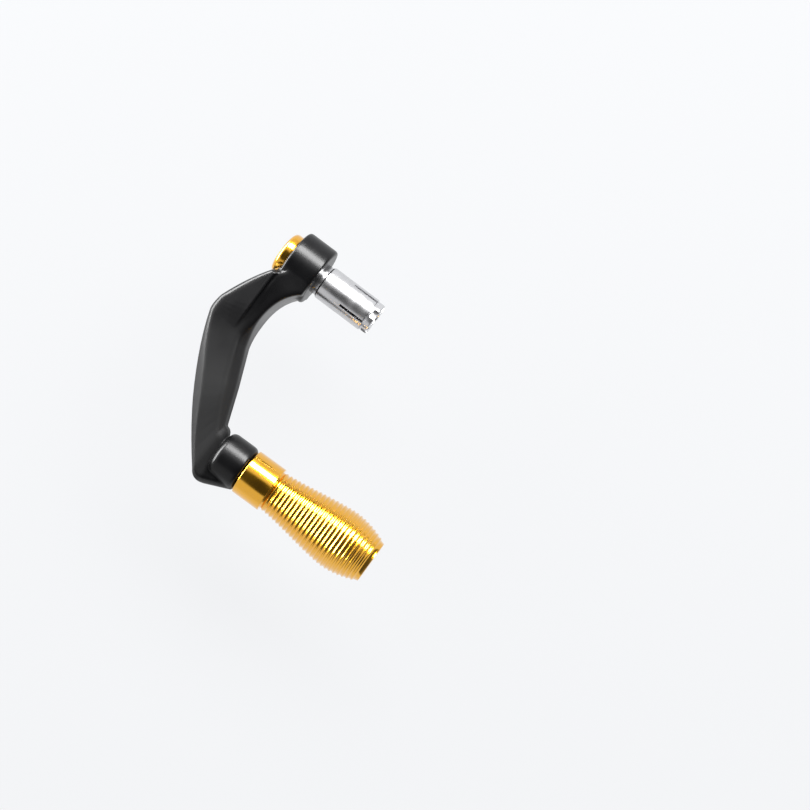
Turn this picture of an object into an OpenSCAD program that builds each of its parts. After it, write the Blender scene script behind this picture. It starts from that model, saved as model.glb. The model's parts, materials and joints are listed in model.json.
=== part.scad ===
// Brake lever guard for the right-hand end of a handlebar.
// The origin is on the bar's axis, at the inner face of the arm's head.
// +X runs outwards along the bar's axis, +Y points forward, +Z points up.
// The arm is alike above and below the plane Z = 0, so the guard also fits the left-hand end.

/* [Head] */
// Diameter of the round head that sits against the end of the bar
head_d = 25.8; // [24.8:0.2:32]
// Width of the head along the bar's axis
head_w = 14.1; // [12:0.1:20]
// Radius of the head's edges
head_edge_r = 1.2; // [0.4:0.1:2]

/* [Arm] */
// Distance forward from the bar's axis to the tip's axis
reach = 81.2; // [72:0.2:100]
// How far the outside of the bend stands out from the head's inner face
bend_out = 28.1; // [24:0.1:38]
// Distance forward from the bar's axis to the bend
bend_fwd = 34; // [28:0.5:40]
// Width of the arm at the bend, across the arm in plan
bend_w = 19.8; // [14:0.5:24]
// Width of the arm where it meets the boss, across the arm in plan
end_w = 15; // [11:0.5:20]
// Height of the arm where it leaves the head
root_h = 24.2; // [18:0.2:24.6]
// Height of the arm at the bend
bend_h = 21.6; // [16:0.2:24]
// Height of the arm beside the boss
end_h = 17; // [12:0.2:22]
// Height of the arm's thin end, past the corner
tail_h = 9; // [6:0.2:14]
// Depth of the step between the head's side of the arm and its outer ramp
ramp_step = 1.3; // [0:0.1:2.5]
// How far the outside of the straight run bows out
run_bow = 3.2; // [0:0.1:6]
// Width of the sloping face along the outer edge, where it is widest
outer_slope_w = 3.8; // [2:0.1:6]
// Height of the arm's outer edge, below that sloping face
outer_edge_h = 12; // [6:0.2:14]
// Width of the sloping face along the inner edge
inner_slope_w = 3.8; // [1:0.1:5]
// Height of the arm's inner edge, below that sloping face
inner_edge_h = 12; // [6:0.2:15]
// Radius that softens the arm's long edges
arm_edge_r = 1.3; // [0.3:0.1:2]

/* [Boss] */
// Diameter of the boss that carries the tip
boss_d = 20.4; // [16:0.2:26]
// Length of the boss, from the arm's end face to the tip
boss_len = 13.6; // [9:0.2:20]
// Where the tip's end of the boss lies, measured back from the head's inner face
boss_face = 23.4; // [18:0.2:30]
// Radius of the boss's edges
boss_edge_r = 2.6; // [0.8:0.1:3.5]
// Angle by which the tip turns in towards the bar
tip_toe = 1; // [0:0.5:4]

/* [Tip] */
// Length of the whole tip
tip_len = 63.4; // [50:0.5:80]
// Diameter of the tip's plain collar
collar_d = 20.2; // [16:0.2:24]
// Length of the plain collar
collar_len = 13.2; // [6:0.2:18]
// Diameter of the tip's neck, beside the collar
neck_d = 18.2; // [14:0.2:22]
// Largest diameter of the ribbed bulb
bulb_d = 26.8; // [22:0.2:32]
// Distance from the tip's end back to the bulb's largest diameter
bulb_back = 16.7; // [10:0.1:22]
// Diameter of the flat face at the tip's end
tip_end_d = 18.8; // [12:0.2:22]
// Spacing of the turned ribs
rib_pitch = 1.92; // [1.4:0.02:3]
// Depth of the grooves between the ribs
rib_depth = 0.5; // [0.2:0.05:0.9]

/* [Bar plug] */
// Diameter of the expanding sleeve that goes inside the bar
sleeve_d = 14.8; // [13:0.1:18]
// Length of the expanding sleeve
sleeve_len = 25.2; // [20:0.2:40]
// Length of the sleeve's reduced neck beside the head
sleeve_neck_len = 2.4; // [1:0.1:5]
// Depth by which that neck is turned down
sleeve_neck_step = 0.7; // [0.2:0.1:1.2]
// Length of the slits in the sleeve
slit_len = 11.5; // [7:0.5:16]
// Width of the slits
slit_w = 1.2; // [0.6:0.1:2]
// Number of slits
slit_count = 4; // [3:1:6]
// Diameter of the wedge nut's rim
nut_rim_d = 13.8; // [12:0.1:15]
// Length of the wedge nut's rim
nut_rim_len = 3.3; // [2:0.1:6]
// Width of the slots across that rim
nut_slot_w = 4; // [2:0.1:5]
// Length of the nut's wedge inside the sleeve
wedge_len = 7.6; // [5:0.1:11]
// Diameter of the wedge where it meets the rim
wedge_d = 11.4; // [10:0.1:12.4]
// Diameter of the wedge's small end
wedge_small_d = 8.6; // [7.6:0.1:9.6]

/* [Fastenings] */
// Thread diameter of the bolt through the head
bolt_d = 6; // [5:0.5:7]
// Diameter of the bolt's head
bolt_head_d = 10; // [9:0.5:12]
// Height of the bolt's head
bolt_head_h = 6; // [4:0.5:7]
// Size of the bolt's hexagon socket, across its flats
socket_af = 5; // [3:0.5:5.5]
// Depth of that socket
socket_depth = 3; // [2:0.5:3.5]
// Diameter of the cap under the bolt's head
cap_d = 18.6; // [15:0.2:22]
// Thickness of the cap's rim, outside the arm's head
cap_rim = 4.7; // [3:0.1:6.5]
// Diameter of the cap's spigot, inside the arm's head
cap_spigot_d = 14; // [13.4:0.2:15.6]
// Length of the cap's spigot
cap_spigot_len = 4.6; // [3:0.1:6]
// Thickness of the cap under the bolt's head
cap_floor = 2; // [1.2:0.1:2.6]
// Thread diameter of the stud that joins the tip to the boss
stud_d = 6; // [5:0.5:8]
// Length of the stud inside the boss
stud_in_boss = 12; // [8:0.5:12.5]
// Length of the stud inside the tip
stud_in_tip = 16; // [10:0.5:24]
// Gap all round a thread or a spigot in its hole
fit_gap = 0.05; // [0.02:0.01:0.15]
// Gap all round the bolt where it passes freely through a hole
free_gap = 0.3; // [0.1:0.05:0.5]

/* [Hidden] */
$fn = 96;

head_r = head_d / 2;
boss_r = boss_d / 2;
boss_root = boss_face - boss_len;
cap_r = cap_d / 2;
cap_face = head_w + cap_rim;
bolt_seat = head_w - cap_spigot_len + cap_floor;
bolt_end = -sleeve_len - nut_rim_len + 0.2;
spot_gap = 0.5;
drill_past = 1;
// Turn of the slits about the bar's axis, from straight up towards the back
slit_turn = 57;
// Turn from the sleeve's own start line to its first slit
slit_lead = 45;

// Softens a change from 0 to 1.
function ease(t) = t * t * (3 - 2 * t);
function mix(a, b, t) = a + (b - a) * t;
function bend(a, b, c, t) = mix(mix(a, b, t), mix(b, c, t), t);
function unit(v) = v / norm(v);

// The arm is lofted along seven stretches: through the head, up the outer ramp, round the bend,
// down the two halves of the run, round the corner, and along the boss.
stretch_steps = [2, 10, 5, 6, 6, 7, 4];
function curve_along(pieces) = concat(
    [for (k = [0:len(pieces) - 1]) for (j = [0:stretch_steps[k] - 1])
        bend(pieces[k][0], pieces[k][1], pieces[k][2], j / stretch_steps[k])],
    [pieces[len(pieces) - 1][2]]
);
function value_along(keys) = concat(
    [for (k = [0:len(keys) - 2]) for (j = [0:stretch_steps[k] - 1])
        mix(keys[k], keys[k + 1], ease(j / stretch_steps[k]))],
    [keys[len(keys) - 1]]
);

// Plan of the arm. Each stretch is a start, a control point and an end.
face_in = 0.3;
outer_root = [head_w - face_in, 5];
outer_bend = [bend_out, bend_fwd];
outer_bend_in = outer_bend - [0.9, 4.5];
corner = [-boss_root + 1.9, reach + boss_r + 6.3];
outer_bend_out = outer_bend + [-0.5, 2.5];
run_dir = unit(corner - outer_bend_out);
run_out = [run_dir[1], -run_dir[0]];
corner_in = corner - 5 * run_dir;
run_knee = mix(outer_bend_out, corner_in, 0.45) + 2 * run_bow * run_out;
run_middle = bend(outer_bend_out, run_knee, corner_in, 0.5);
tail = [-boss_face + 0.3, reach + boss_r - 0.4];
corner_out = corner + 5.5 * unit(tail - corner);
ramp_knee = mix(outer_root, outer_bend_in, 0.42) + [2.1, -1];

inner_root = [face_in, 10.2];
inner_bend = [bend_out - bend_w, bend_fwd];
inner_bend_in = inner_bend - [0.1, 6];
inner_end = [-boss_root + 4.1, reach - boss_r + 0.3];
inner_bend_out = mix(inner_bend, inner_end, 0.18) + [0.6, 0];
inner_middle = mix(inner_bend_out, inner_end, 0.5) - [0.3, 0];
inner_knee = inner_bend_in - [0.4, 12];

outer_edge = curve_along([
    [[head_w - face_in, 0], [head_w - face_in, 2.5], outer_root],
    [outer_root, ramp_knee, outer_bend_in],
    [outer_bend_in, outer_bend, outer_bend_out],
    [outer_bend_out, mix(outer_bend_out, run_knee, 0.5), run_middle],
    [run_middle, mix(run_knee, corner_in, 0.5), corner_in],
    [corner_in, corner, corner_out],
    [corner_out, mix(corner_out, tail, 0.5), tail]
]);
inner_edge = curve_along([
    [[face_in, 0], [face_in, 5], inner_root],
    [inner_root, inner_knee, inner_bend_in],
    [inner_bend_in, inner_bend, inner_bend_out],
    [inner_bend_out, mix(inner_bend_out, inner_middle, 0.5), inner_middle],
    [inner_middle, mix(inner_middle, inner_end, 0.5), inner_end],
    [inner_end, [-boss_root + 0.3, inner_end[1]], [-boss_root, reach - 3]],
    [[-boss_root, reach - 3], [-boss_root - 3, reach + 4], tail - [0, 5]]
]);

// Heights and slopes along the arm, one value for each end of a stretch.
top_z = value_along([
    root_h, root_h, bend_h + 0.8, bend_h, mix(bend_h, end_h, 0.2), end_h, tail_h + 3, tail_h
] / 2);
step_z = value_along([0, ramp_step, ramp_step * 0.3, 0, 0, 0, 0, 0]);
outer_w = value_along([1, 1.6, 1.6, 1.8, outer_slope_w, outer_slope_w * 0.6, 2.2, 2]);
outer_z = value_along([
    root_h - 2, root_h - 5, bend_h - 3, bend_h - 4, outer_edge_h, outer_edge_h * 0.7, 6, 4
] / 2);
inner_w = value_along([0.9, 0.9, 1, inner_slope_w, inner_slope_w, inner_slope_w, 2, 1]);
inner_z = value_along([
    root_h - 1.4, root_h - 1.4, bend_h - 1.2, inner_edge_h, inner_edge_h, inner_edge_h - 1, 7, 5
] / 2);

// Cuts a corner of an outline back and rounds it with a short curve.
corner_steps = 2;
function soft_corner(before, at, after) =
    let (
        cut_a = min(arm_edge_r, norm(before - at) * 0.45),
        cut_b = min(arm_edge_r, norm(after - at) * 0.45),
        a = at + unit(before - at) * cut_a,
        b = at + unit(after - at) * cut_b
    )
    [for (j = [0:corner_steps]) bend(a, at, b, j / corner_steps)];

// Section of the arm at station i, as [distance from the outer edge, height] points.
function upper_half(i) =
    let (
        span = norm(inner_edge[i] - outer_edge[i]),
        ramp_w = max(outer_w[i] + 0.8, (outer_edge[i][0] - head_w)
            * span / max(outer_edge[i][0] - inner_edge[i][0], 1)),
        ledge = min(ramp_w, span - inner_w[i] - 1.6),
        low = top_z[i] - step_z[i]
    )
    [
        [0, outer_z[i]],
        [outer_w[i], low],
        [ledge, low + 0.01],
        [ledge + 0.6, top_z[i]],
        [span - inner_w[i], top_z[i]],
        [span, inner_z[i]]
    ];
function section_outline(i) =
    let (
        up = upper_half(i),
        n = len(up),
        ring = concat(up, [for (k = [n - 1:-1:0]) [up[k][0], -up[k][1]]]),
        m = len(ring)
    )
    [for (k = [0:m - 1]) for (p = soft_corner(ring[(k + m - 1) % m], ring[k], ring[(k + 1) % m])) p];
function section_3d(i) =
    let (across = unit(inner_edge[i] - outer_edge[i]))
    [for (p = section_outline(i))
        [outer_edge[i][0] + across[0] * p[0], outer_edge[i][1] + across[1] * p[0], p[1]]];

module loft(rings) {
    n = len(rings);
    m = len(rings[0]);
    points = [for (ring = rings) for (p = ring) p];
    sides = [for (i = [0:n - 2]) for (j = [0:m - 1])
        for (tri = [
            [i * m + j, i * m + (j + 1) % m, (i + 1) * m + j],
            [i * m + (j + 1) % m, (i + 1) * m + (j + 1) % m, (i + 1) * m + j]
        ]) tri];
    first = [for (j = [m - 1:-1:0]) j];
    last = [for (j = [0:m - 1]) (n - 1) * m + j];
    polyhedron(points, concat(sides, [first, last]));
}

// Solid of revolution along +X from an outline of [place along X, radius] points.
module turned(outline) {
    rotate([0, 90, 0]) rotate_extrude() polygon([for (p = outline) [p[1], p[0]]]);
}

// Outline of a disc from x0 to x1 whose two edges are rounded.
edge_steps = 4;
function rounded_disc(x0, x1, r, edge0, edge1) = concat(
    [[x0, 0]],
    [for (j = [0:edge_steps]) let (a = 90 * j / edge_steps)
        [x0 + edge0 * (1 - cos(a)), r - edge0 * (1 - sin(a))]],
    [for (j = [0:edge_steps]) let (a = 90 * j / edge_steps)
        [x1 - edge1 * (1 - sin(a)), r - edge1 * (1 - cos(a))]],
    [[x1, 0]]
);

module rod(x0, x1, d) {
    translate([x0, 0, 0]) rotate([0, 90, 0]) cylinder(h = x1 - x0, d = d);
}

// Places a child on the tip's axis, with the boss's face at its origin and the tip towards -X.
module on_tip_axis() {
    translate([-boss_face, reach, 0]) rotate([0, 0, tip_toe]) children();
}

// The arm is one casting: head, lofted arm and boss.
module arm() {
    color([0.16, 0.16, 0.165]) difference() {
        union() {
            turned(rounded_disc(0, head_w, head_r, head_edge_r, head_edge_r));
            loft([for (i = [0:len(outer_edge) - 1]) section_3d(i)]);
            on_tip_axis() turned(rounded_disc(0, boss_len, boss_r, boss_edge_r, boss_edge_r));
        }
        rod(-drill_past, head_w + drill_past, bolt_d + 2 * free_gap);
        rod(head_w - cap_spigot_len - fit_gap, head_w + drill_past, cap_spigot_d + 2 * fit_gap);
        rod(head_w, head_w + bend_out, cap_d + 2 * spot_gap);
        on_tip_axis() rod(-drill_past, stud_in_boss + fit_gap, stud_d + 2 * fit_gap);
    }
}

// Flanged cap that seats in the head's outer face and takes the bolt's head.
module cap() {
    rim_edge = cap_rim * 0.4;
    color([0.93, 0.68, 0.12]) difference() {
        union() {
            turned(rounded_disc(head_w, cap_face, cap_r, 0.5, rim_edge));
            rod(head_w - cap_spigot_len, head_w + 0.5, cap_spigot_d);
        }
        rod(bolt_seat, cap_face + drill_past, bolt_head_d + 2 * free_gap);
        rod(head_w - cap_spigot_len - drill_past, cap_face, bolt_d + 2 * free_gap);
    }
}

// Socket-head bolt through the cap, the head and the sleeve, into the wedge nut.
module bar_bolt() {
    head_chamfer = 0.5;
    tip_chamfer = 0.6;
    head_end = bolt_seat + bolt_head_h;
    color([0.2, 0.2, 0.21]) difference() {
        turned([
            [bolt_end, 0],
            [bolt_end, bolt_d / 2 - tip_chamfer],
            [bolt_end + tip_chamfer, bolt_d / 2],
            [bolt_seat, bolt_d / 2],
            [bolt_seat, bolt_head_d / 2],
            [head_end - head_chamfer, bolt_head_d / 2],
            [head_end, bolt_head_d / 2 - head_chamfer],
            [head_end, 0]
        ]);
        translate([head_end - socket_depth, 0, 0]) rotate([0, 90, 0])
            cylinder(h = socket_depth + drill_past, d = socket_af / cos(30), $fn = 6);
    }
}

// Slit sleeve that the wedge nut spreads inside the bar.
module expansion_sleeve() {
    r = sleeve_d / 2;
    neck_r = r - sleeve_neck_step;
    end_chamfer = 0.4;
    slit_start = -sleeve_len + slit_len;
    color([0.8, 0.8, 0.82]) rotate([slit_turn - slit_lead, 0, 0]) difference() {
        turned([
            [-sleeve_len, 0],
            [-sleeve_len, r - end_chamfer],
            [-sleeve_len + end_chamfer, r],
            [-sleeve_neck_len - sleeve_neck_step, r],
            [-sleeve_neck_len, neck_r],
            [0, neck_r],
            [0, 0]
        ]);
        rod(-sleeve_len - drill_past, drill_past, bolt_d + 2 * free_gap);
        turned(wedge_outline(fit_gap, drill_past, wedge_len + 1));
        for (k = [0:slit_count - 1]) rotate([slit_lead + k * 360 / slit_count, 0, 0])
            translate([-sleeve_len - drill_past, -slit_w / 2, 0])
                cube([slit_start + sleeve_len + drill_past, slit_w, sleeve_d]);
    }
}

// Outline of the wedge, grown by a gap and run past the sleeve's end and its own small end.
function wedge_outline(gap, past, reach_in) =
    let (slope = (wedge_d - wedge_small_d) / 2 / wedge_len)
    [
        [-sleeve_len - past, 0],
        [-sleeve_len - past, wedge_d / 2 + gap + slope * past],
        [-sleeve_len + reach_in, wedge_d / 2 + gap - slope * reach_in],
        [-sleeve_len + reach_in, 0]
    ];

// Nut whose wedge spreads the sleeve, with slots across its rim.
module wedge_nut() {
    rim_start = -sleeve_len - nut_rim_len;
    rim_r = nut_rim_d / 2;
    rim_chamfer = 0.5;
    slot_depth = nut_rim_len - 0.9;
    color([0.76, 0.76, 0.78]) difference() {
        union() {
            turned([
                [rim_start, 0],
                [rim_start, rim_r - rim_chamfer],
                [rim_start + rim_chamfer, rim_r],
                [-sleeve_len - fit_gap, rim_r],
                [-sleeve_len - fit_gap, 0]
            ]);
            turned(wedge_outline(0, fit_gap * 2, wedge_len));
        }
        rod(rim_start - drill_past, -sleeve_len + wedge_len + drill_past, bolt_d + 2 * fit_gap);
        for (k = [0:slit_count - 1]) rotate([slit_turn + (k + 0.5) * 360 / slit_count, 0, 0])
            translate([rim_start - drill_past, -nut_slot_w / 2, bolt_d / 2 + 1.2])
                cube([slot_depth + drill_past, nut_slot_w, rim_r]);
    }
}

// Radius of the tip's ribbed part at a distance from its seat.
function bulb_r_at(s) =
    let (
        start = collar_len,
        peak = tip_len - bulb_back,
        rise = (s - start) / (peak - start),
        fall = (s - peak) / bulb_back
    )
    s < peak
        ? mix(neck_d, bulb_d, (rise + ease(rise)) / 2) / 2
        : mix(bulb_d, tip_end_d, fall * fall) / 2;

// The tip is turned: a plain collar, then a bulb with a rib at every pitch.
module tip() {
    seat_gap = 0.1;
    collar_chamfer = 0.6;
    rib_count = floor((tip_len - collar_len - 1.4) / rib_pitch);
    rib_start = collar_len + 0.6;
    rib_shape = [[0, 1], [0.22, 0.3], [0.38, 0], [0.62, 0], [0.78, 0.3]];
    ribs = [for (k = [0:rib_count - 1]) for (q = rib_shape)
        let (s = rib_start + (k + q[0]) * rib_pitch) [-s, bulb_r_at(s) - q[1] * rib_depth]];
    color([0.93, 0.68, 0.12]) on_tip_axis() difference() {
        turned(concat(
            [
                [-seat_gap, 0],
                [-seat_gap, collar_d / 2 - collar_chamfer],
                [-seat_gap - collar_chamfer, collar_d / 2],
                [-collar_len + 0.3, collar_d / 2],
                [-collar_len, collar_d / 2 - 0.3],
                [-collar_len, bulb_r_at(collar_len) - rib_depth / 2]
            ],
            ribs,
            [[-tip_len + 0.4, tip_end_d / 2 - 0.1], [-tip_len, tip_end_d / 2 - 0.5], [-tip_len, 0]]
        ));
        rod(-stud_in_tip - fit_gap - 1, drill_past, stud_d + 2 * fit_gap);
    }
}

// Headless stud that joins the tip to the boss.
module tip_stud() {
    end_chamfer = 0.6;
    r = stud_d / 2;
    color([0.7, 0.7, 0.72]) on_tip_axis() turned([
        [-stud_in_tip, 0],
        [-stud_in_tip, r - end_chamfer],
        [-stud_in_tip + end_chamfer, r],
        [stud_in_boss - end_chamfer, r],
        [stud_in_boss, r - end_chamfer],
        [stud_in_boss, 0]
    ]);
}

arm();
cap();
bar_bolt();
expansion_sleeve();
wedge_nut();
tip();
tip_stud();
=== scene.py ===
import json
import math

import bpy
from mathutils import Matrix, Vector


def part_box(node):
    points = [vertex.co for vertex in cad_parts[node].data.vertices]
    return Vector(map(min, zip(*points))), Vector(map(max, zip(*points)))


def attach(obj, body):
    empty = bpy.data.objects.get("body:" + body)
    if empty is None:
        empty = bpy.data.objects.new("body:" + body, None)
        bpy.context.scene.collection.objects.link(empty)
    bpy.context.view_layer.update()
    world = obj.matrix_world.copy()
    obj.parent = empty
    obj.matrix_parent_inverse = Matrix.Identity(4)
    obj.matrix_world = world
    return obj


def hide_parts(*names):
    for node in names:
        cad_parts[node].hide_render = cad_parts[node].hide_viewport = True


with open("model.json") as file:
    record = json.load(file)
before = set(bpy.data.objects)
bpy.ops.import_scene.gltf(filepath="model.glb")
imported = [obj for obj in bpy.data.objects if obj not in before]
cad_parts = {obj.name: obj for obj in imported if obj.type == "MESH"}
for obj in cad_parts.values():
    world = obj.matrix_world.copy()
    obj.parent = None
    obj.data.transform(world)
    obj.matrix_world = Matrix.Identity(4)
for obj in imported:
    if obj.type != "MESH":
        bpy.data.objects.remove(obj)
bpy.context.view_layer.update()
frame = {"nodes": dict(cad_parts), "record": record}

# The sizes that a piece shares with the frame are read from it. The rest are in metres here.
MM = 0.001
record = frame["record"]
cad = frame["nodes"]

sleeve_low, sleeve_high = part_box("expansion_sleeve")
cap_low, cap_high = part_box("cap")
bolt_low, bolt_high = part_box("bar_bolt")
nut_low, nut_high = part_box("wedge_nut")
tip_low, tip_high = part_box("tip")
stud_low, stud_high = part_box("tip_stud")

# Bar plug
SLEEVE_R = sleeve_high[2]
SLEEVE_END = sleeve_low[0]
SLEEVE_NECK = 2.4 * MM
SLEEVE_NECK_STEP = 0.7 * MM
SLIT_LENGTH = 11.5 * MM
SLIT_WIDTH = 1.2 * MM
SLIT_TURN = 57
SLIT_COUNT = 4
NUT_SLOT = 4.0 * MM
NUT_SLOT_FLOOR = 4.2 * MM
NUT_WEB = 0.9 * MM
BOLT_HOLE_R = 3.3 * MM
WEDGE_R = 3.9 * MM

# Cap and bolt
CAP_R = cap_high[2]
CAP_RIM = 4.7 * MM
CAP_FLOOR = 2.0 * MM
BOLT_HEAD_R = bolt_high[2]
BOLT_R = 3.0 * MM
BOLT_HEAD = 6.0 * MM
SOCKET_R = 5.0 * MM / math.sqrt(3)
SOCKET_DEPTH = 3.0 * MM

# Tip
TIP_SEAT = Vector((-23.4, 81.2, 0)) * MM
TIP_TOE = math.radians(1)
TIP_LENGTH = 63.4 * MM
COLLAR_R = 10.1 * MM
COLLAR_LENGTH = 13.2 * MM
NECK_R = 9.1 * MM
BULB_R = tip_high[2]
BULB_BACK = 16.7 * MM
TIP_END_R = 9.4 * MM
RIB_PITCH = 1.92 * MM
RIB_DEPTH = 0.56 * MM

RAMP_LIFT = 2.0 * MM
AROUND = 128
FINE_AROUND = 160


def ease(t):
    return t * t * (3 - 2 * t)


def mix(a, b, t):
    return a + (b - a) * t


# Modelling helpers
def start():
    if bpy.context.object and bpy.context.object.mode != "OBJECT":
        bpy.ops.object.mode_set(mode="OBJECT")
    bpy.ops.object.select_all(action="DESELECT")


def only(piece):
    start()
    piece.select_set(True)
    bpy.context.view_layer.objects.active = piece


def settle(piece):
    """Moves the object's own place and turn into its mesh."""
    only(piece)
    bpy.ops.object.transform_apply(location=True, rotation=True, scale=True)


def apply_all(piece):
    only(piece)
    for modifier in list(piece.modifiers):
        bpy.ops.object.modifier_apply(modifier=modifier.name)


def outward(piece):
    only(piece)
    bpy.ops.object.mode_set(mode="EDIT")
    bpy.ops.mesh.select_all(action="SELECT")
    bpy.ops.mesh.remove_doubles(threshold=1e-7)
    bpy.ops.mesh.normals_make_consistent(inside=False)
    bpy.ops.object.mode_set(mode="OBJECT")


def smooth(piece, angle):
    only(piece)
    bpy.ops.object.shade_smooth_by_angle(angle=math.radians(angle))


def turned(name, profile, seat=Vector((0, 0, 0)), turn=0.0, around=AROUND):
    """Turns a solid about an axis along X. The profile lists (place along X, radius) pairs."""
    start()
    x0, r0 = profile[0]
    bpy.ops.mesh.primitive_circle_add(vertices=around, radius=r0, fill_type="NGON", location=(0, 0, x0))
    piece = bpy.context.object
    piece.name = piece.data.name = name
    bpy.ops.object.transform_apply(location=True)
    bpy.ops.object.mode_set(mode="EDIT")
    bpy.ops.mesh.select_all(action="SELECT")
    for (xa, ra), (xb, rb) in zip(profile, profile[1:]):
        bpy.ops.mesh.extrude_region_move(TRANSFORM_OT_translate={"value": (0, 0, xb - xa)})
        bpy.ops.transform.resize(value=(rb / ra, rb / ra, 1), center_override=(0, 0, xb))
    bpy.ops.object.mode_set(mode="OBJECT")
    piece.matrix_world = (
        Matrix.Translation(seat) @ Matrix.Rotation(turn, 4, "Z") @ Matrix.Rotation(math.pi / 2, 4, "Y")
    )
    settle(piece)
    outward(piece)
    return piece


def cut(piece, cutter):
    modifier = piece.modifiers.new("cut", "BOOLEAN")
    modifier.operation = "DIFFERENCE"
    modifier.solver = "EXACT"
    modifier.object = cutter
    apply_all(piece)
    bpy.data.objects.remove(cutter)


def drill(piece, x0, x1, radius, sides=AROUND, radius_end=None):
    """Cuts a round or many-sided hole along X from x0 to x1."""
    end = radius if radius_end is None else radius_end
    cutter = turned("drill", [(x0, radius), (x1, end)], around=sides)
    cut(piece, cutter)


def mill_slots(piece, x0, x1, floor, top, width, count, first_turn):
    """Cuts slots at even turns about the X axis."""
    for k in range(count):
        start()
        bpy.ops.mesh.primitive_cube_add(size=1)
        cutter = bpy.context.object
        cutter.scale = (x1 - x0, width, top - floor)
        cutter.location = ((x0 + x1) / 2, 0, (floor + top) / 2)
        settle(cutter)
        cutter.matrix_world = Matrix.Rotation(math.radians(first_turn + k * 360 / count), 4, "X")
        settle(cutter)
        cut(piece, cutter)


def soften_edges(piece, width, angle=30, segments=2):
    modifier = piece.modifiers.new("edges", "BEVEL")
    modifier.width = width
    modifier.segments = segments
    modifier.limit_method = "ANGLE"
    modifier.angle_limit = math.radians(angle)
    modifier.use_clamp_overlap = True
    apply_all(piece)


def arc(x, r, radius, a0, a1, steps=6):
    """Points of an arc about (x, r). Angle 0 points along X, 90 away from the axis."""
    turns = [math.radians(mix(a0, a1, j / steps)) for j in range(steps + 1)]
    return [(x + radius * math.cos(a), r + radius * math.sin(a)) for a in turns]


# Materials
def new_group(name, inputs, outputs):
    group = bpy.data.node_groups.new(name, "ShaderNodeTree")
    for label, kind, value in inputs:
        socket = group.interface.new_socket(label, in_out="INPUT", socket_type=kind)
        if value is not None:
            socket.default_value = value
    for label, kind in outputs:
        group.interface.new_socket(label, in_out="OUTPUT", socket_type=kind)
    return group, group.nodes.new("NodeGroupInput"), group.nodes.new("NodeGroupOutput")


def make_grain_group():
    """Fine grain: a height and a mask, from two sizes of noise."""
    group, put_in, put_out = new_group(
        "fine_grain",
        [("Position", "NodeSocketVector", None), ("Scale", "NodeSocketFloat", 900.0)],
        [("Height", "NodeSocketFloat"), ("Mask", "NodeSocketFloat")],
    )
    fine = group.nodes.new("ShaderNodeTexNoise")
    fine.inputs["Detail"].default_value = 3
    broad = group.nodes.new("ShaderNodeTexNoise")
    broad.inputs["Detail"].default_value = 2
    slower = group.nodes.new("ShaderNodeMath")
    slower.operation = "MULTIPLY"
    slower.inputs[1].default_value = 0.06
    link = group.links.new
    link(put_in.outputs["Position"], fine.inputs["Vector"])
    link(put_in.outputs["Position"], broad.inputs["Vector"])
    link(put_in.outputs["Scale"], fine.inputs["Scale"])
    link(put_in.outputs["Scale"], slower.inputs[0])
    link(slower.outputs[0], broad.inputs["Scale"])
    link(fine.outputs["Fac"], put_out.inputs["Height"])
    link(broad.outputs["Fac"], put_out.inputs["Mask"])
    return group


def make_turning_group():
    """Fine rings that a lathe leaves round an axis along X."""
    group, put_in, put_out = new_group(
        "turning_marks",
        [("Position", "NodeSocketVector", None), ("Per Metre", "NodeSocketFloat", 5000.0)],
        [("Height", "NodeSocketFloat")],
    )
    apart = group.nodes.new("ShaderNodeSeparateXYZ")
    times = group.nodes.new("ShaderNodeMath")
    times.operation = "MULTIPLY"
    rings = group.nodes.new("ShaderNodeTexNoise")
    rings.noise_dimensions = "1D"
    rings.inputs["Scale"].default_value = 1.0
    rings.inputs["Detail"].default_value = 2
    link = group.links.new
    link(put_in.outputs["Position"], apart.inputs[0])
    link(apart.outputs["X"], times.inputs[0])
    link(put_in.outputs["Per Metre"], times.inputs[1])
    link(times.outputs[0], rings.inputs["W"])
    link(rings.outputs["Fac"], put_out.inputs["Height"])
    return group


GRAIN = make_grain_group()
TURNING = make_turning_group()


def new_material(name, colour, metallic, **plain):
    material = bpy.data.materials.new(name)
    material.use_nodes = True
    shader = material.node_tree.nodes["Principled BSDF"]
    shader.inputs["Base Color"].default_value = (*colour, 1)
    shader.inputs["Metallic"].default_value = metallic
    for label, value in plain.items():
        shader.inputs[label.replace("_", " ")].default_value = value
    return material, shader


def add_group(material, group, position, **values):
    node = material.node_tree.nodes.new("ShaderNodeGroup")
    node.node_tree = group
    material.node_tree.links.new(position, node.inputs["Position"])
    for label, value in values.items():
        node.inputs[label.replace("_", " ")].default_value = value
    return node


def object_position(material, turn=0.0):
    nodes = material.node_tree.nodes
    place = nodes.new("ShaderNodeTexCoord")
    mapping = nodes.new("ShaderNodeMapping")
    mapping.inputs["Rotation"].default_value = (0, 0, turn)
    material.node_tree.links.new(place.outputs["Object"], mapping.inputs["Vector"])
    return mapping.outputs["Vector"]


def spread(material, value, low, high):
    """Maps a 0 to 1 value onto a range."""
    node = material.node_tree.nodes.new("ShaderNodeMapRange")
    node.inputs["From Min"].default_value = 0.3
    node.inputs["From Max"].default_value = 0.7
    node.inputs["To Min"].default_value = low
    node.inputs["To Max"].default_value = high
    material.node_tree.links.new(value, node.inputs["Value"])
    return node.outputs["Result"]


def between(material, value, start_at, end_at, low, high):
    """Blends smoothly from one value to another between two places."""
    node = material.node_tree.nodes.new("ShaderNodeMapRange")
    node.interpolation_type = "SMOOTHSTEP"
    node.inputs["From Min"].default_value = start_at
    node.inputs["From Max"].default_value = end_at
    node.inputs["To Min"].default_value = low
    node.inputs["To Max"].default_value = high
    material.node_tree.links.new(value, node.inputs["Value"])
    return node.outputs["Result"]


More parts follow.
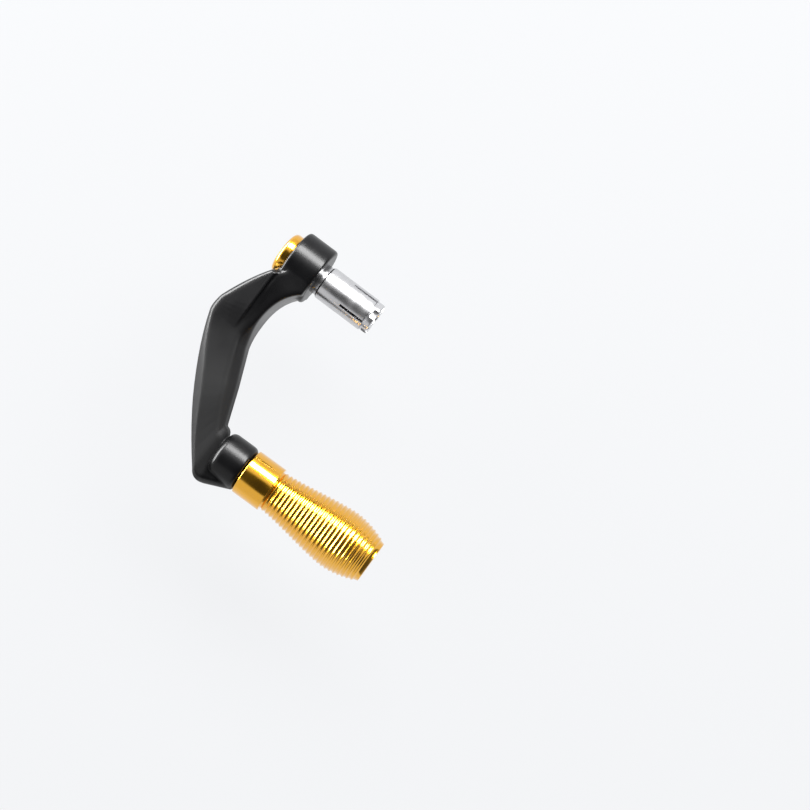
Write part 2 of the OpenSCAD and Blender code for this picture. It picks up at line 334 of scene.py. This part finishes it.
def add_bump(material, shader, height, strength, distance, before=None):
    node = material.node_tree.nodes.new("ShaderNodeBump")
    node.inputs["Strength"].default_value = strength
    node.inputs["Distance"].default_value = distance
    material.node_tree.links.new(height, node.inputs["Height"])
    if before is not None:
        material.node_tree.links.new(before, node.inputs["Normal"])
    material.node_tree.links.new(node.outputs["Normal"], shader.inputs["Normal"])
    return node.outputs["Normal"]


def black_coating():
    material, shader = new_material("black_coating", (0.0012, 0.0012, 0.0014), 0.0, Coat_Weight=0.0)
    shader.inputs["Specular IOR Level"].default_value = 0.27
    position = object_position(material)
    grain = add_group(material, GRAIN, position, Scale=1800.0)
    link = material.node_tree.links.new
    apart = material.node_tree.nodes.new("ShaderNodeSeparateXYZ")
    link(position, apart.inputs[0])
    run = between(material, apart.outputs["Y"], 22 * MM, 66 * MM, 0.29, 0.68)
    off_boss = between(material, apart.outputs["X"], -11.5 * MM, -8.5 * MM, 0.0, 1.0)
    satin = material.node_tree.nodes.new("ShaderNodeMix")
    link(off_boss, satin.inputs["Factor"])
    satin.inputs[2].default_value = 0.30
    link(run, satin.inputs[3])
    uneven = material.node_tree.nodes.new("ShaderNodeMath")
    uneven.operation = "ADD"
    link(satin.outputs[0], uneven.inputs[0])
    link(spread(material, grain.outputs["Mask"], -0.03, 0.03), uneven.inputs[1])
    link(uneven.outputs[0], shader.inputs["Roughness"])
    add_bump(material, shader, grain.outputs["Height"], 0.25, 0.00004)
    return material


def gold_anodising(name="gold_anodising"):
    material, shader = new_material(name, (0.87, 0.435, 0.018), 1.0, Coat_Weight=1.0, Coat_Roughness=0.08)
    position = object_position(material, -TIP_TOE)
    grain = add_group(material, GRAIN, position, Scale=2500.0)
    lathe = add_group(material, TURNING, position, Per_Metre=9000.0)
    link = material.node_tree.links.new
    link(spread(material, grain.outputs["Mask"], 0.15, 0.21), shader.inputs["Roughness"])
    first = add_bump(material, shader, grain.outputs["Height"], 0.12, 0.00002)
    add_bump(material, shader, lathe.outputs["Height"], 0.2, 0.00001, first)
    return material


def turned_aluminium():
    material, shader = new_material("turned_aluminium", (0.60, 0.60, 0.61), 1.0)
    position = object_position(material)
    grain = add_group(material, GRAIN, position, Scale=2600.0)
    lathe = add_group(material, TURNING, position, Per_Metre=6000.0)
    link = material.node_tree.links.new
    link(spread(material, grain.outputs["Mask"], 0.22, 0.32), shader.inputs["Roughness"])
    first = add_bump(material, shader, grain.outputs["Height"], 0.3, 0.00003)
    add_bump(material, shader, lathe.outputs["Height"], 0.3, 0.00002, first)
    return material


def dark_steel():
    material, shader = new_material("dark_steel", (0.09, 0.09, 0.095), 1.0)
    position = object_position(material)
    grain = add_group(material, GRAIN, position, Scale=2200.0)
    link = material.node_tree.links.new
    link(spread(material, grain.outputs["Mask"], 0.30, 0.42), shader.inputs["Roughness"])
    add_bump(material, shader, grain.outputs["Height"], 0.3, 0.00003)
    return material


def zinc_steel():
    material, shader = new_material("zinc_steel", (0.62, 0.62, 0.64), 1.0)
    position = object_position(material)
    grain = add_group(material, GRAIN, position, Scale=2400.0)
    link = material.node_tree.links.new
    link(spread(material, grain.outputs["Mask"], 0.25, 0.35), shader.inputs["Roughness"])
    add_bump(material, shader, grain.outputs["Height"], 0.3, 0.00003)
    return material


def give(piece, material):
    piece.data.materials.clear()
    piece.data.materials.append(material)


def hand_over(piece, node):
    """Hangs a piece on the root body and hides the frame's node that it takes the place of."""
    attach(piece, "root")
    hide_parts(node)


# Pieces
def lift_ramp(piece):
    """Slopes the ramp beside the head down to the outer edge, from a low ridge along the crease."""
    for point in piece.data.vertices:
        x, y, z = point.co
        on_ramp = x > 13.9 * MM and y > 7 * MM and abs(z) > 9.9 * MM and math.hypot(y, z) > 13.1 * MM
        if on_ramp:
            across = max(0.0, 1 - (x - 14.1 * MM) / (11 * MM))
            along = 1 - ease(min(1.0, max(0.0, (y - 26 * MM) / (12 * MM))))
            point.co.z += math.copysign(RAMP_LIFT * across * along, z)


def make_arm(material):
    """The casting: the frame's solid, with its edges melted as a casting's are."""
    mesh = cad["arm"].data.copy()
    piece = bpy.data.objects.new("arm_casting", mesh)
    bpy.context.scene.collection.objects.link(piece)
    outward(piece)
    lift_ramp(piece)
    skin = piece.modifiers.new("skin", "REMESH")
    skin.mode = "VOXEL"
    skin.voxel_size = 0.36 * MM
    melt = piece.modifiers.new("melt", "SMOOTH")
    melt.factor = 0.5
    melt.iterations = 8
    apply_all(piece)
    only(piece)
    bpy.ops.object.shade_smooth()
    give(piece, material)
    hand_over(piece, "arm")
    return piece


def make_cap(material):
    """Round cap with a full rim, a hollow face and a recess for the bolt's head."""
    face = cap_high[0]
    seat = face - CAP_RIM
    rim = CAP_RIM * 0.42
    profile = [(cap_low[0], 6.9 * MM), (seat + 0.3 * MM, 6.9 * MM), (seat + 0.02 * MM, CAP_R - 0.8 * MM)]
    profile += arc(seat + 0.4 * MM, CAP_R - 0.7 * MM, 0.4 * MM, 180, 90, 4)
    profile += [(seat + 1.0 * MM, CAP_R - 0.05 * MM)]
    profile += arc(face - rim, CAP_R - rim, rim, 90, 0, 10)
    profile += [(face - 0.35 * MM, BOLT_HEAD_R + 1.5 * MM), (face - 0.6 * MM, BOLT_HEAD_R + 0.4 * MM)]
    piece = turned("gold_cap", profile)
    seat_of_bolt = bolt_high[0] - BOLT_HEAD
    drill(piece, seat_of_bolt, face + MM, BOLT_HEAD_R + 0.3 * MM)
    drill(piece, cap_low[0] - MM, face, BOLT_HOLE_R)
    soften_edges(piece, 0.12 * MM)
    smooth(piece, 35)
    give(piece, material)
    hand_over(piece, "cap")
    return piece


def make_bolt(material):
    """Socket-head bolt with a thread at its plug end."""
    head_end = bolt_high[0]
    head_start = head_end - BOLT_HEAD
    pitch = 1.0 * MM
    depth = 0.45 * MM
    thread_length = 16 * MM
    x = bolt_low[0]
    profile = [(x, BOLT_R - 2 * depth)]
    for k in range(int(thread_length / pitch)):
        profile += [(x + (k + 0.15) * pitch, BOLT_R - depth), (x + (k + 0.6) * pitch, BOLT_R)]
    profile += [(x + thread_length + pitch, BOLT_R), (head_start, BOLT_R), (head_start, BOLT_HEAD_R - 0.2 * MM)]
    profile += [(head_start + 0.2 * MM, BOLT_HEAD_R), (head_end - 0.6 * MM, BOLT_HEAD_R)]
    profile += [(head_end - 0.2 * MM, BOLT_HEAD_R - 0.2 * MM), (head_end, BOLT_HEAD_R - 0.7 * MM)]
    piece = turned("socket_bolt", profile, around=96)
    drill(piece, head_end - SOCKET_DEPTH, head_end + MM, SOCKET_R, sides=6)
    smooth(piece, 30)
    give(piece, material)
    hand_over(piece, "bar_bolt")
    return piece


def make_sleeve(material):
    """Slit sleeve with a turned neck and a cone bored in its free end."""
    end = SLEEVE_END
    profile = [(end, SLEEVE_R - 0.5 * MM)]
    profile += arc(end + 0.35 * MM, SLEEVE_R - 0.35 * MM, 0.35 * MM, 180, 90, 4)
    profile += [(-SLEEVE_NECK - SLEEVE_NECK_STEP, SLEEVE_R)]
    profile += [(-SLEEVE_NECK, SLEEVE_R - SLEEVE_NECK_STEP), (0, SLEEVE_R - SLEEVE_NECK_STEP)]
    piece = turned("plug_sleeve", profile)
    drill(piece, end - MM, MM, BOLT_HOLE_R)
    drill(piece, end - MM, end + 8.6 * MM, 5.9 * MM, radius_end=4.2 * MM)
    mill_slots(piece, end - MM, end + SLIT_LENGTH, 0, SLEEVE_R + MM, SLIT_WIDTH, SLIT_COUNT, SLIT_TURN)
    soften_edges(piece, 0.1 * MM)
    smooth(piece, 35)
    give(piece, material)
    hand_over(piece, "expansion_sleeve")
    return piece


def make_nut(material):
    """Wedge nut: a cone inside the sleeve and a slotted rim past its end."""
    x0 = nut_low[0]
    rim_end = SLEEVE_END - 0.05 * MM
    rim_r = nut_high[2]
    profile = [(x0, rim_r - 0.6 * MM)] + arc(x0 + 0.5 * MM, rim_r - 0.5 * MM, 0.5 * MM, 180, 90, 5)
    profile += [(rim_end, rim_r), (rim_end, WEDGE_R), (nut_high[0], 3.6 * MM)]
    piece = turned("plug_nut", profile)
    drill(piece, x0 - MM, nut_high[0] + MM, BOLT_R + 0.05 * MM)
    mill_slots(
        piece, x0 - MM, rim_end - NUT_WEB, NUT_SLOT_FLOOR, rim_r + MM, NUT_SLOT, SLIT_COUNT,
        SLIT_TURN + 180 / SLIT_COUNT,
    )
    soften_edges(piece, 0.1 * MM)
    smooth(piece, 35)
    give(piece, material)
    hand_over(piece, "wedge_nut")
    return piece


def bulb_radius(s):
    """Radius over the ribs at a distance s from the tip's seat."""
    peak = TIP_LENGTH - BULB_BACK
    if s < peak:
        rise = (s - COLLAR_LENGTH) / (peak - COLLAR_LENGTH)
        return mix(NECK_R, BULB_R, (rise + ease(rise)) / 2)
    fall = (s - peak) / BULB_BACK
    return mix(BULB_R, TIP_END_R, fall * fall)


def make_tip(material):
    """Turned tip: a plain collar, then a bulb with a round-topped rib at every pitch."""
    seat_gap = 0.1 * MM
    collar = [(seat_gap, COLLAR_R - 0.7 * MM)]
    collar += arc(seat_gap + 0.5 * MM, COLLAR_R - 0.5 * MM, 0.5 * MM, 180, 90, 5)
    collar += arc(COLLAR_LENGTH - 0.25 * MM, COLLAR_R - 0.25 * MM, 0.25 * MM, 90, 0, 4)
    rib_start = COLLAR_LENGTH + 0.6 * MM
    rib_count = int((TIP_LENGTH - COLLAR_LENGTH - 1.4 * MM) / RIB_PITCH)
    rib_shape = [(0.0, 1.0), (0.08, 0.92), (0.17, 0.74), (0.27, 0.46), (0.36, 0.20), (0.43, 0.05),
                 (0.5, 0.0), (0.57, 0.05), (0.64, 0.20), (0.73, 0.46), (0.83, 0.74), (0.92, 0.92)]
    ribs = [(COLLAR_LENGTH + 0.01 * MM, bulb_radius(COLLAR_LENGTH) - RIB_DEPTH * 0.5)]
    for k in range(rib_count):
        for along, down in rib_shape:
            s = rib_start + (k + along) * RIB_PITCH
            ribs.append((s, bulb_radius(s) - down * RIB_DEPTH))
    end = [(TIP_LENGTH - 0.5 * MM, TIP_END_R - 0.1 * MM), (TIP_LENGTH - 0.15 * MM, TIP_END_R - 0.2 * MM),
           (TIP_LENGTH, TIP_END_R - 0.6 * MM)]
    profile = [(-s, r) for s, r in collar + ribs + end]
    piece = turned("ribbed_tip", profile, seat=TIP_SEAT, turn=TIP_TOE, around=FINE_AROUND)
    smooth(piece, 40)
    give(piece, material)
    hand_over(piece, "tip")
    return piece


# Stage
BACKDROP = (0.930, 0.939, 0.956)
FLOOR_GLOW = (0.858, 0.867, 0.883)
FLOOR_Z = -48 * MM


def make_floor():
    start()
    bpy.ops.mesh.primitive_plane_add(size=8, location=(0, 0, FLOOR_Z))
    floor = bpy.context.object
    floor.name = "floor"
    material = bpy.data.materials.new("pale_floor")
    material.use_nodes = True
    nodes = material.node_tree.nodes
    link = material.node_tree.links.new
    nodes.clear()
    out = nodes.new("ShaderNodeOutputMaterial")
    both = nodes.new("ShaderNodeMixShader")
    matt = nodes.new("ShaderNodeBsdfDiffuse")
    matt.inputs["Color"].default_value = (0.86, 0.87, 0.885, 1)
    glow = nodes.new("ShaderNodeEmission")
    glow.inputs["Color"].default_value = (*FLOOR_GLOW, 1)
    path = nodes.new("ShaderNodeLightPath")
    seen = nodes.new("ShaderNodeMath")
    seen.operation = "MAXIMUM"
    share = nodes.new("ShaderNodeMath")
    share.operation = "MULTIPLY"
    share.inputs[1].default_value = 0.975
    link(path.outputs["Is Camera Ray"], seen.inputs[0])
    link(path.outputs["Is Glossy Ray"], seen.inputs[1])
    link(seen.outputs[0], share.inputs[0])
    link(share.outputs[0], both.inputs["Fac"])
    link(matt.outputs[0], both.inputs[1])
    link(glow.outputs[0], both.inputs[2])
    link(both.outputs[0], out.inputs["Surface"])
    floor.data.materials.append(material)


def make_world():
    """Even pale surroundings with a dark patch overhead, seen only in reflections."""
    world = bpy.data.worlds.new("studio")
    bpy.context.scene.world = world
    world.use_nodes = True
    nodes = world.node_tree.nodes
    link = world.node_tree.links.new
    nodes.clear()
    out = nodes.new("ShaderNodeOutputWorld")
    place = nodes.new("ShaderNodeTexCoord")
    toward = nodes.new("ShaderNodeVectorMath")
    toward.operation = "DOT_PRODUCT"
    lean = math.radians(15)
    toward.inputs[1].default_value = (0, math.sin(lean), math.cos(lean))
    ramp = nodes.new("ShaderNodeValToRGB")
    ramp.color_ramp.interpolation = "EASE"
    ramp.color_ramp.elements[0].position = math.cos(math.radians(34))
    ramp.color_ramp.elements[0].color = (0.80, 0.80, 0.81, 1)
    ramp.color_ramp.elements[1].position = math.cos(math.radians(24))
    ramp.color_ramp.elements[1].color = (0.05, 0.05, 0.05, 1)
    room = nodes.new("ShaderNodeBackground")
    plain = nodes.new("ShaderNodeBackground")
    plain.inputs["Color"].default_value = (*BACKDROP, 1)
    both = nodes.new("ShaderNodeMixShader")
    path = nodes.new("ShaderNodeLightPath")
    link(place.outputs["Generated"], toward.inputs[0])
    link(toward.outputs["Value"], ramp.inputs["Fac"])
    apart = nodes.new("ShaderNodeSeparateXYZ")
    flag = nodes.new("ShaderNodeMapRange")
    flag.inputs["From Min"].default_value = -0.55
    flag.inputs["From Max"].default_value = -0.15
    flag.inputs["To Min"].default_value = 0.12
    flag.inputs["To Max"].default_value = 1.0
    link(place.outputs["Generated"], apart.inputs[0])
    link(apart.outputs["X"], flag.inputs["Value"])
    link(flag.outputs["Result"], room.inputs["Strength"])
    link(ramp.outputs["Color"], room.inputs["Color"])
    link(path.outputs["Is Camera Ray"], both.inputs["Fac"])
    link(room.outputs[0], both.inputs[1])
    link(plain.outputs[0], both.inputs[2])
    link(both.outputs[0], out.inputs["Surface"])


def add_lamp(name, toward, distance, size_x, size_y, power, spin=0.0, aim=Vector((-0.03, 0.04, 0))):
    """An area lamp that stands off in a direction and faces the guard, its long side along X."""
    data = bpy.data.lights.new(name, "AREA")
    data.shape = "RECTANGLE"
    data.size = size_x
    data.size_y = size_y
    data.energy = power
    lamp = bpy.data.objects.new(name, data)
    bpy.context.scene.collection.objects.link(lamp)
    back = Vector(toward).normalized()
    side = Vector((1, 0, 0)) - back * back.x
    side.normalize()
    up = back.cross(side)
    place = Matrix((side, up, back)).transposed().to_4x4()
    place.translation = aim + back * distance
    lamp.matrix_world = place @ Matrix.Rotation(math.radians(spin), 4, "Z")
    return lamp


def make_lamps():
    high = math.radians(47)
    add_lamp("strip_lamp", (0, -math.sin(high), math.cos(high)), 0.7, 1.0, 0.30, 26.0)
    add_lamp("side_lamp", (0.978, 0, 0.21), 0.7, 0.30, 1.0, 26.0)


# Camera, placed as for the photograph: long lens, nearly overhead, the bar's axis turned in view
PHOTO_PIXELS = 810
PIXELS_PER_MM = 2.45
ORIGIN_PIXEL = Vector((319.5, 277.7))
BAR_TURN = math.radians(37)
LENS = 85.0
SENSOR = 36.0
TILT_X = math.radians(3.0)
TILT_Y = math.radians(0.0)


def make_camera():
    frame_width = PHOTO_PIXELS / PIXELS_PER_MM * MM
    distance = frame_width * LENS / SENSOR
    right = Vector((-math.cos(BAR_TURN), -math.sin(BAR_TURN), 0))
    down = Vector((-math.sin(BAR_TURN), math.cos(BAR_TURN), 0))
    offset = (Vector((PHOTO_PIXELS / 2, PHOTO_PIXELS / 2)) - ORIGIN_PIXEL) / PIXELS_PER_MM * MM
    aim = right * offset.x + down * offset.y
    back = Vector((-math.tan(TILT_X), math.tan(TILT_Y), 1)).normalized()
    up = (-down - back * (-down).dot(back)).normalized()
    side = up.cross(back)
    data = bpy.data.cameras.new("camera")
    data.lens = LENS
    data.sensor_width = SENSOR
    data.clip_end = 20
    camera = bpy.data.objects.new("camera", data)
    bpy.context.scene.collection.objects.link(camera)
    place = Matrix((side, up, back)).transposed().to_4x4()
    place.translation = aim + back * distance
    camera.matrix_world = place
    bpy.context.scene.camera = camera


make_camera()
start()
gold = gold_anodising()
aluminium = turned_aluminium()
make_arm(black_coating())
make_cap(gold)
make_bolt(dark_steel())
make_sleeve(aluminium)
make_nut(aluminium)
make_tip(gold)
give(cad["tip_stud"], zinc_steel())
make_floor()
make_world()
make_lamps()
bpy.context.scene.view_settings.view_transform = "Standard"
